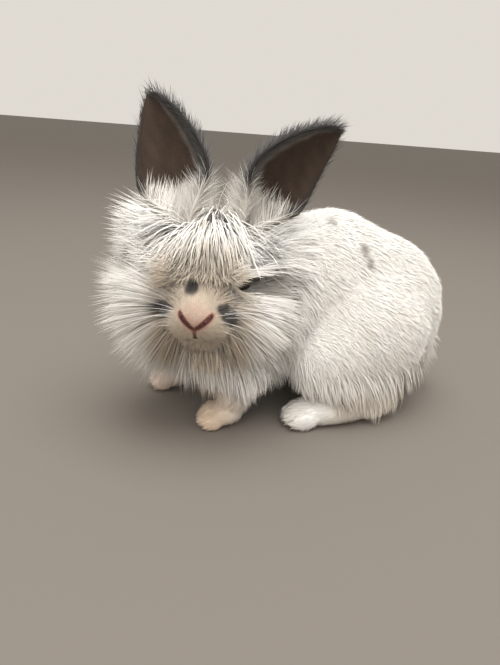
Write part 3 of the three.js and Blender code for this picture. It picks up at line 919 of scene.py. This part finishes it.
def make_ear_skin(word):
    bpy.ops.mesh.primitive_grid_add(x_subdivisions=EAR_ACROSS, y_subdivisions=EAR_ALONG, size=2)
    ear = active_named(f"ear_{word}_skin")
    flat = triples(ear.data.vertices, "co")
    u, t = flat[:, 0], (flat[:, 1] + 1) / 2 * 0.985
    spine, _, facing, sideways, radius, half_arc = ear_frame(word, t)
    angle = (u * half_arc)[:, None]
    radius = radius[:, None]
    inner = radius - 0.5 - EAR_SKIN / 2
    move_points(ear, spine + sideways * inner * np.sin(angle) + facing * (radius - inner * np.cos(angle)))
    finish_modifier(ear, "SOLIDIFY", thickness=EAR_SKIN * MM, offset=0)
    face_outwards()
    bpy.ops.object.shade_smooth()
    return ear


def ear_place(word, points):
    """Share along the ear and across it (above 0 towards the crown), and the cup's heart line,
    way and radius there."""
    spine, tangent, facing, sideways, radius, half_arc = ear_frame(word, EAR_STEPS)
    best = np.full(len(points), 1e9)
    found = np.zeros(len(points), int)
    for i in range(len(EAR_STEPS)):
        off = np.abs((points - spine[i]) @ tangent[i])
        closer = off < best
        best[closer] = off[closer]
        found[closer] = i
    heart = (spine + facing * radius[:, None])[found]
    out = points - heart
    angle = np.arctan2((out * sideways[found]).sum(1), -(out * facing[found]).sum(1))
    across = -SIDES[word] * angle / half_arc[found]
    return EAR_STEPS[found], across, heart, tangent[found], radius[found]


# The rabbit
hair = coat_finish("rabbit_hair")
skin = make_skin()
in_place_of(skin, FORMS)

THIN = 1
SPREAD = math.sqrt(THIN)


def is_form(points, *starts):
    forms = nearest_form(points)
    return np.any([np.char.startswith(forms, start) for start in starts], axis=0)


def make_body_coat():
    """Short dense coat of the back, flanks, rump and tail, and the longer fringe of the lower edge."""
    draw = np.random.default_rng(SEED)
    nodes = ["torso", "haunch_left", "haunch_right", "tail"]

    def there(points):
        short = is_form(points, "torso", "haunch", "tail") * (1 - wool_share(points))
        return short * smooth(6, 20, points[:, 2])

    def low_edge(points):
        return smooth(44, 24, points[:, 2])

    def upper(points):
        return there(points) * (1 - 0.75 * low_edge(points))

    roots, normals = roots_on(skin, "back", 11, upper)
    tail = is_form(roots, "tail")
    lengths = (7.5 + 5 * low_edge(roots) + 4 * tail) * draw.uniform(0.75, 1.2, len(roots))
    width = draw.uniform(0.42, 0.68, len(roots)) * SPREAD
    lift = 0.22 + 0.1 * low_edge(roots) + 0.5 * tail
    for i in range(4):
        mine = np.arange(len(roots)) % 4 == i
        grow(
            f"coat_back_{i + 1}", roots[mine], normals[mine], lengths[mine], width[mine], 3, lift[mine],
            0.25, 0.25, 20 + i, nodes, stray=0.09, root_tint=0.2,
        )
    roots, normals = roots_on(skin, "fringe", 15, lambda points: there(points) * low_edge(points))
    haunch = is_form(roots, "haunch") * smooth(150, 170, roots[:, 1])
    room = np.clip((roots[:, 2] - 5) * 1.15, 6, 40)
    lengths = np.minimum(15 + 9 * haunch, room) * draw.uniform(0.75, 1.1, len(roots))
    width = draw.uniform(0.5, 0.8, len(roots)) * SPREAD
    grow(
        "fringe", roots, normals, lengths, width, 4, 0.35 + 0.2 * haunch, 0.7 + 0.6 * haunch,
        0.5, 26, nodes, stray=0.12, root_tint=0.3, clump_every=20,
    )


# The way in which each eye looks out through the wool
EYE_WINDOWS = {"left": (0.45, -0.78, 0.42), "right": (-0.93, -0.36, -0.06)}
WINDOW_SIZE = {"left": (8.6, 4.0), "right": (5.8, 2.6)}
WINDOW_DEPTH = {"left": 12, "right": 8}


def between_stations(paths):
    steps = [paths[:, :-1] * (1 - k) + paths[:, 1:] * k for k in (0.25, 0.5, 0.75, 1)]
    return np.concatenate(steps, 1)


def clear_of_eyes(paths):
    """Which hairs don't hang before the lids."""
    kept = np.ones(len(paths), bool)
    between = between_stations(paths)
    for word, side in SIDES.items():
        turn = lid_frame(side)
        centre = from_head(np.array(EYE_PLACE) * (side, 1, 1) + turn[:, 0] * EYE_RADIUS)
        axis = head_way(EYE_WINDOWS[word])
        out = (between - centre) @ axis
        apart = between - centre - out[..., None] * axis
        across, up = (apart @ head_way(turn[:, k]) / WINDOW_SIZE[word][k - 1] for k in (1, 2))
        kept &= ~((out > 1) & (out < WINDOW_DEPTH[word]) & (np.hypot(across, up) < 1)).any(1)
    return kept


def clear_of_ears(paths):
    """Which hairs don't go through the sheet of an ear."""
    kept = np.ones(len(paths), bool)
    local = to_head(paths[:, 0])
    close = np.flatnonzero((local[:, 2] > -2) & (local[:, 1] > 34))
    between = between_stations(paths[close])
    points = between.reshape(-1, 3)
    for word in SIDES:
        along, across, heart, tangent, radius = ear_place(word, points)
        apart = points - heart
        off = np.linalg.norm(apart - tangent * (apart * tangent).sum(1, keepdims=True), axis=1)
        through = (np.abs(off - radius) < 1.3) & (np.abs(across) < 1) & (along > 0) & (along < 0.98)
        kept[close] &= ~through.reshape(between.shape[:2]).any(1)
    return kept


def well_laid(paths):
    return clear_of_eyes(paths) & clear_of_ears(paths)


wool_draw = np.random.default_rng(SEED + 1)


def make_mane():
    """Long wool of the crown and the cheeks."""

    def on_head(points):
        long = smooth(3.5, 6, head_length(points)) * smooth(1.5, 4, lid_distance(points))
        return is_form(points, "head") * long

    roots, normals = roots_on(skin, "mane", 12, on_head)
    x, y, z = to_head(roots).T
    lengths = head_length(roots)
    long_part = smooth(10, 30, lengths)
    crown = smooth(8, 18, z) * smooth(24, 15, np.abs(x)) * smooth(22, 32, y)
    top = smooth(0, 10, z) * smooth(38, 50, y)
    whorl_far = np.hypot(x - WHORL[0], y - WHORL[1])
    before_ears = top * smooth(7, 12, np.abs(x)) * smooth(24, 18, np.abs(x)) * smooth(40, 45, y)
    calm = 1 - top * (0.4 * smooth(10, 1, whorl_far) + 0.55 * before_ears)
    to_brow = np.clip((y - 16.8 - 0.7 * np.maximum(x - 7, 0)) * 1.2, 5, 46)
    lengths = lengths + (to_brow - lengths) * crown * smooth(74, 64, y) + 3 * top
    low_right = smooth(-4, -16, x) * smooth(8, -6, z)
    lengths = lengths + 7 * low_right * smooth(14, 30, lengths)
    shortest = np.where(x > 0, 0.3, 0.6)
    lengths = lengths * (shortest + (1 - shortest) * smooth(1, 7, lid_distance(roots)))
    whole = wool_draw.uniform(0.7, 1.12, len(roots))
    lengths = lengths * (whole - 0.25 * crown * wool_draw.uniform(size=len(roots)))
    width = (0.33 + 0.25 * long_part) * wool_draw.uniform(0.75, 1.25, len(roots)) * SPREAD
    width = width * (1 + 0.35 * np.maximum(crown, top))
    lengths = lengths * (1 - 0.5 * top * smooth(12, 2, whorl_far))
    pads = smooth(5, 12, y) * smooth(40, 26, y)
    lift = 0.35 + 0.65 * long_part + 0.4 * pads
    beside = smooth(7, 17, np.abs(x))
    arch = 0.34 + 0.78 * smooth(28, 57, y)
    lift = lift + (arch - lift) * np.maximum(crown, top)
    droop = 0.3 + 1.7 * smooth(28, 56, y) * (1 - 0.85 * beside) * np.maximum(crown, top)
    parts = (
        ("mane_crown_left", (z > 8) & (x > 0)),
        ("mane_crown_right", (z > 8) & (x <= 0)),
        ("mane_cheek_left", (z <= 8) & (x > 0)),
        ("mane_cheek_right", (z <= 8) & (x <= 0)),
    )
    for i, (name, mine) in enumerate(parts):
        grow(
            name, roots[mine], normals[mine], lengths[mine], width[mine], 5, lift[mine], droop[mine],
            0.12 + 0.12 * long_part[mine], 30 + i, ["head"], stray=0.19, clump_every=30,
            root_tint=0.15, parting=well_laid, forward=0.9, calm=calm[mine], darkest=0.95,
        )


def make_ruff():
    """Long wool of the neck, shoulders, chest and upper legs."""

    def off_head(points):
        return wool_share(points) * (1 - is_form(points, "head"))

    roots, normals = roots_on(skin, "ruff", 16, off_head)
    wool = wool_share(roots)
    growth = np.where(is_form(roots, "foreleg"), 21, 23)
    lengths = (8 + growth * wool) * wool_draw.uniform(0.72, 1.12, len(roots))
    lift = 0.4 + 0.35 * is_form(roots, "neck")
    width = wool_draw.uniform(0.42, 0.72, len(roots)) * SPREAD
    above = is_form(roots, "neck", "torso")
    parts = (("mane_shoulders", above, "neck"), ("mane_bib", ~above, "chest"))
    for i, (name, mine, node) in enumerate(parts):
        grow(
            name, roots[mine], normals[mine], lengths[mine], width[mine], 4, lift[mine], 0.8, 0.5, 36 + i,
            [node], stray=0.12, clump_every=24, root_tint=0.15,
        )


def make_face_coat():
    """Short hair of the nose bridge, lips and chin, lying back from the nose."""
    draw = np.random.default_rng(SEED + 2)

    def there(points):
        bare = smooth(0.5, 1.6, slit_distance(points)) * smooth(0.8, 1.5, lid_distance(points))
        bare = bare * smooth(0.3, 1.2, height_over_mass(points, CLEFT_CUT))
        short = smooth(8, 5, head_length(points)) + smooth(4, 2, lid_distance(points))
        return is_form(points, "head") * np.clip(short, 0, 1) * bare

    roots, normals = roots_on(skin, "face", 13, there)
    near_lids = smooth(1, 6, lid_distance(roots))
    near_slits = smooth(0, 6, slit_distance(roots))
    lengths = np.minimum(head_length(roots), 6) * (0.45 + 0.55 * near_lids) * (0.4 + 0.6 * near_slits)
    lengths = lengths * draw.uniform(0.75, 1.2, len(roots))
    width = draw.uniform(0.22, 0.36, len(roots)) * SPREAD
    grow(
        "coat_face", roots, normals, lengths, width, 3, 0.45, 0.2, 0.3, 40, ["head"],
        stray=0.14, root_tint=0.15, sink=0.2, parting=clear_of_eyes, darkest=0.72,
    )


def make_leg_coat():
    """Short flat coat of the legs and feet."""
    draw = np.random.default_rng(SEED + 3)

    def there(points):
        short = is_form(points, "foreleg", "hind_foot") * (1 - wool_share(points))
        return short * smooth(0.5, 1.5, points[:, 2])

    roots, normals = roots_on(skin, "legs", 14, there)
    lengths = (4.0 + 4.5 * smooth(8, 26, roots[:, 2])) * draw.uniform(0.75, 1.2, len(roots))
    width = draw.uniform(0.42, 0.7, len(roots)) * SPREAD
    legs = [name for name in FORMS if name.startswith(("foreleg", "hind_foot"))]
    grow(
        "coat_legs", roots, normals, lengths, width, 3, 0.28, 0.2, 0.35, 50, legs,
        stray=0.08, root_tint=0.2, sink=0.3,
    )


make_body_coat()
make_mane()
make_ruff()
make_face_coat()
make_leg_coat()


# How far up each ear the wool of the crown goes
EAR_WOOL = {"left": 0.37, "right": 0.41}


def ear_colours(points, along, across, inside, wool_end):
    """Charcoal outside, brown in the cup, with a silvery rim, and white wool at the root."""
    wander = 0.06 * waves(points, 11, 72)
    band = smooth(0.42, 0.56, across + wander) + smooth(0.9, 1.0, -across)
    rim = smooth(0.16, 0.02, np.abs(across + wander - 0.4)) * smooth(0.1, 0.3, along)
    colours = blend_to(np.repeat(EAR_INSIDE[None], len(points), 0), EAR_OUTSIDE, np.clip(band, 0, 1))
    colours = blend_to(colours, EAR_OUTSIDE, 0.6 * smooth(0.35, 0.1, along))
    colours = blend_to(colours, EAR_RIM, 0.5 * rim)
    back = np.repeat(EAR_OUTSIDE[None], len(points), 0)
    back = blend_to(back, SOFT_GREY, 0.3 * smooth(0.35, 0.15, along))
    colours = np.where(inside[:, None], colours, back)
    colours = blend_to(colours, WOOL * 0.97, smooth(wool_end, wool_end - 0.14, along))
    uneven = 0.2 * waves(points, 8, 71) * smooth(0.15, 0.4, along)
    return np.clip(colours * (1 + uneven)[:, None], 0, 1)


def make_ear(word):
    ear = make_ear_skin(word)
    points = points_of(ear)
    along, across, heart, _, _ = ear_place(word, points)
    inside = ((heart - points) * triples(ear.data.vertices, "normal")).sum(1) > 0
    paint(ear, ear_colours(points, along, across, inside, EAR_WOOL[word]))
    ear.data.materials.append(skin_finish(f"ear_{word}_skin_with_down"))
    in_place_of(ear, [f"ear_{word}"])

    draw = np.random.default_rng(61)
    roots, normals = roots_on(ear, "ear", 60 + SIDES[word])
    along, across, heart, tangent, _ = ear_place(word, roots)
    inside = ((heart - roots) * normals).sum(1) > 0
    band = smooth(0.45, 0.7, across) + smooth(0.88, 1.0, -across) + smooth(0.9, 1.0, along)
    band = np.clip(band, 0, 1)
    edgewards = unit(np.cross(tangent, heart - roots)) * (SIDES[word] * np.sign(across))[:, None]
    lie = unit(tangent + edgewards * (0.2 + 0.55 * band)[:, None])
    edge = smooth(0.86, 0.97, np.abs(across))
    lengths = np.where(inside, 2.6 + 3.6 * band, 3.8 + 3.0 * band) + 1.5 * edge
    uneven = along + 0.03 * draw.normal(size=len(roots))
    woolly = smooth(EAR_WOOL[word], EAR_WOOL[word] - 0.14, uneven)
    lengths = lengths * draw.uniform(0.6, 1.3, len(roots))
    lengths = lengths + 10 * woolly * draw.uniform(0.4, 1.1, len(roots))
    lift = np.where(inside, 0.25 + 0.25 * band, 0.32 + 0.25 * band) + 0.35 * woolly
    direction = unit(lie + lift[:, None] * normals + 0.12 * draw.normal(size=roots.shape))
    shares = np.linspace(0, 1, 3)[None, :, None]
    paths = (roots - 0.4 * normals)[:, None] + direction[:, None] * (lengths[:, None, None] * shares)
    ragged = across + 0.05 * draw.normal(size=len(roots))
    own = ear_colours(roots, uneven, ragged, inside, EAR_WOOL[word])
    own = own * (1 + draw.uniform(-0.3, 0.3, len(roots)) * (1 - 0.85 * woolly))[:, None]

    def colours(points, tip_share):
        # Painted shade at the roots of the ear's hairs and painted light at their tips, but not in the wool.
        shade = 1 + (0.35 * tip_share[None] - 0.2) * (1 - woolly[:, None])
        return np.clip(own, 0, 0.97)[:, None, :] * shade[..., None]

    tile = np.array(EAR_TILES[word]) + 0.005
    sheet = tile + columns(0.118 * ~inside + 0.112 * (across / 2 + 0.5).clip(0, 1), 0.23 * along)
    widths = draw.uniform(0.35, 0.6, len(roots)) * SPREAD
    glow = unit(normals + GLOW_UP)
    piece = blades(f"ear_{word}_coat", paths, normals, widths, colours, sheet, glow=glow)
    in_place_of(piece, [f"ear_{word}"])


for word in SIDES:
    make_ear(word)


# Eyes: a wet ball, brown round a dark pupil
PUPIL = 3.4
IRIS = 6.3


def eye_finish(word, centre, outwards):
    """Cornea: wet brown glass with a dark pupil, which gives one small bright window."""
    wet = {"Roughness": 0.12, "IOR": 1.376, "Coat Weight": 1, "Coat Roughness": 0.03}
    finish, shader = new_finish(f"wet_{word}_cornea", wet)
    where = add_node(finish, "ShaderNodeTexCoord").outputs["Object"]
    spot = tuple(place(centre + outwards * EYE_RADIUS))
    apart = add_node(finish, "ShaderNodeVectorMath", [(where, 0)], {1: spot}, operation="DISTANCE")
    apart = apart.outputs["Value"]
    ring = add_node(finish, "ShaderNodeMapRange", [(apart, "Value")], {"From Max": IRIS * MM})
    shades = add_node(finish, "ShaderNodeValToRGB", [(ring.outputs["Result"], "Fac")])
    stops = shades.color_ramp.elements
    stops[0].position, stops[0].color = PUPIL / IRIS - 0.06, (*linear("#070504"), 1)
    stops[1].position, stops[1].color = 1, (*linear("#1a0f0a"), 1)
    edge = stops.new(PUPIL / IRIS + 0.04)
    edge.color = (*linear("#3a2215"), 1)
    finish.node_tree.links.new(shades.outputs["Color"], shader.inputs["Base Color"])
    return finish


def make_eye(word):
    side = SIDES[word]
    centre = from_head(np.array(EYE_PLACE) * (side, 1, 1))
    outwards = head_way(lid_frame(side)[:, 0])
    radius = EYE_RADIUS - 0.3
    bpy.ops.mesh.primitive_uv_sphere_add(
        segments=40, ring_count=24, radius=radius * MM, location=place(centre)
    )
    ball = active_named(f"eye_{word}_ball")
    apply_place(ball)
    points = points_of(ball)
    front = ((points - centre) @ outwards) / radius
    points = points + outwards * (0.5 * smooth(0.75, 1.0, front))[:, None]
    move_points(ball, points)
    bpy.ops.object.shade_smooth()
    ball.data.materials.append(eye_finish(word, centre, outwards))
    in_place_of(ball, [f"eye_{word}"])


for word in SIDES:
    make_eye(word)


# Claws: bent cones that come out under the tip of each toe
CLAW_LENGTH = 3.4
CLAW_RADIUS = 0.65
CLAW_STEPS = 6
CLAW_HEIGHT = 3.2


def make_claw(name, base):
    """A cone drawn out in steps, each step thinner and more bent down."""
    bpy.ops.mesh.primitive_cylinder_add(
        vertices=10, radius=CLAW_RADIUS * MM, depth=0.2 * MM, location=place(base),
        rotation=(math.pi / 2, 0, 0),
    )
    claw = active_named(name)
    apply_place(claw)
    ahead = triples(claw.data.polygons, "center")[:, 1]
    select_faces(claw, ahead < ahead.min() + 1e-6)
    for step in range(CLAW_STEPS):
        bend = math.radians(6 + 9 * step)
        move = np.array([0, -math.cos(bend), -math.sin(bend)]) * CLAW_LENGTH / CLAW_STEPS * MM
        bpy.ops.mesh.extrude_region_move(TRANSFORM_OT_translate={"value": tuple(move)})
        left = 1 - (step + 1) / CLAW_STEPS
        size = max(0.12, left**0.6) / max(0.12, (left + 1 / CLAW_STEPS) ** 0.6)
        bpy.ops.transform.resize(value=(size, 1, size))
    set_mode("OBJECT")
    face_outwards()
    points = points_of(claw)
    points[:, 2] = np.maximum(points[:, 2], FLOOR_CLEAR)
    move_points(claw, points)
    bpy.ops.object.shade_smooth()
    return claw


def make_claws():
    """Horn, pale and smooth, which gives a soft cream shine."""
    horn = plain_finish("pale_claw_horn", "#d8c4ae", 0.35)
    for word, side in SIDES.items():
        for leg, node, x, toe, spacing, back in (
            ("fore", "foreleg", FORELEG_SPREAD, FORE_TOE_Y[word], FORE_TOE_SPACING, 1.4),
            ("hind", "hind_foot", HIND_FOOT_SPREAD, HIND_TOE_Y, HIND_TOE_SPACING, 2),
        ):
            claws = []
            for number, slot in enumerate(TOE_SLOTS):
                base = (side * x + slot * spacing, toe + abs(slot) * back + 2.4, CLAW_HEIGHT)
                claws.append(make_claw(f"claw_{leg}_{word}_{number}", base))
            piece = join_pieces(claws, f"claws_{leg}_{word}")
            piece.data.materials.append(horn)
            in_place_of(piece, [f"{node}_{word}"])


make_claws()


WHISKER_WIDTH = 0.17


def make_whiskers():
    """Long white bristles of the upper lips, stiff and fine."""
    draw = np.random.default_rng(SEED + 5)
    grid = np.meshgrid(list(SIDES.values()), range(4), range(4), indexing="ij")
    side, row, column = (part.ravel() for part in grid)
    ways = columns(side, 0.1 + 0.15 * column, 0.15 - 0.22 * row)
    ways = unit(ways + 0.12 * draw.normal(size=ways.shape))
    roots = from_head(columns(side * (8 + 1.7 * column), 7 + 2.6 * column, 1.5 - 3.2 * row))
    for _ in range(3):
        here, way = outward(roots)
        roots = roots - way * here[:, None]
    direction = head_way(ways)
    lengths = (26 + 9 * column) * draw.uniform(0.8, 1.1, len(column))
    share = np.linspace(0, 1, 9)[None, :, None]
    sag = np.array([0, 0, -1.0]) * (share**2) * lengths[:, None, None] * 0.22
    reach = direction[:, None] * share * lengths[:, None, None]
    paths = roots[:, None] - direction[:, None] * 0.8 + reach + sag
    _, normals = outward(roots)
    up = unit(np.cross(direction, np.cross(normals, direction)))

    def colours(points, tip_share):
        return np.ones(points.shape) * WHITE

    widths = np.full(len(roots), WHISKER_WIDTH)
    piece = blades("whiskers", paths, up, widths, colours, unwrap(roots), BRISTLE)
    in_place_of(piece, ["head"])


make_whiskers()


# Floor, light and camera
def make_floor():
    """Matt grey floor, which gives soft shadows and lets the white coat stand out."""
    bpy.ops.mesh.primitive_plane_add(size=30, location=(0, 0, 0))
    floor = active_named("studio_floor")
    floor.data.materials.append(plain_finish("grey_matt_floor", "#756f68", 0.9))


LIGHT_TARGET = (0, -0.02, 0.08)


def add_light(name, spot, size, power, colour):
    light = bpy.data.lights.new(name, "AREA")
    light.shape = "DISK"
    light.size = size
    light.energy = power
    light.color = linear(colour)
    lamp = add_object(name, light)
    lamp.location = spot
    lamp.rotation_euler = (Vector(LIGHT_TARGET) - Vector(spot)).to_track_quat("-Z", "Y").to_euler()


# The camera of the photo: its place, which way it looks, its dip and roll in degrees, and its lens
CAMERA_SPOT = (320, 0, 173.7)
CAMERA_AZIMUTH = 70
CAMERA_DIP = 20.2
CAMERA_ROLL = 4.62
SENSOR = 36
LENS = 557 / 665 * SENSOR


def make_camera():
    turn = turned("Z", CAMERA_AZIMUTH) @ turned("X", 90 - CAMERA_DIP) @ turned("Z", CAMERA_ROLL)
    lens = bpy.data.cameras.new("photo_view")
    lens.lens = LENS
    lens.sensor_width = SENSOR
    camera = add_object("photo_view", lens)
    camera.matrix_world = Matrix.Translation(place(CAMERA_SPOT)) @ Matrix(turn.tolist()).to_4x4()
    bpy.context.scene.camera = camera


make_floor()
world = bpy.data.worlds.new("studio")
bpy.context.scene.world = world
world.use_nodes = True
sky = world.node_tree.nodes["Background"].inputs
sky["Color"].default_value = (*linear("#f1ebe2"), 1)
sky["Strength"].default_value = 0.85
add_light("overhead", (0.2, 0.0, 1.35), 1.2, 20, "#fffefc")
add_light("front_fill", (1.1, -0.6, 1.15), 1.4, 9, "#fffaf4")
make_camera()
bpy.context.scene.view_settings.view_transform = "Standard"
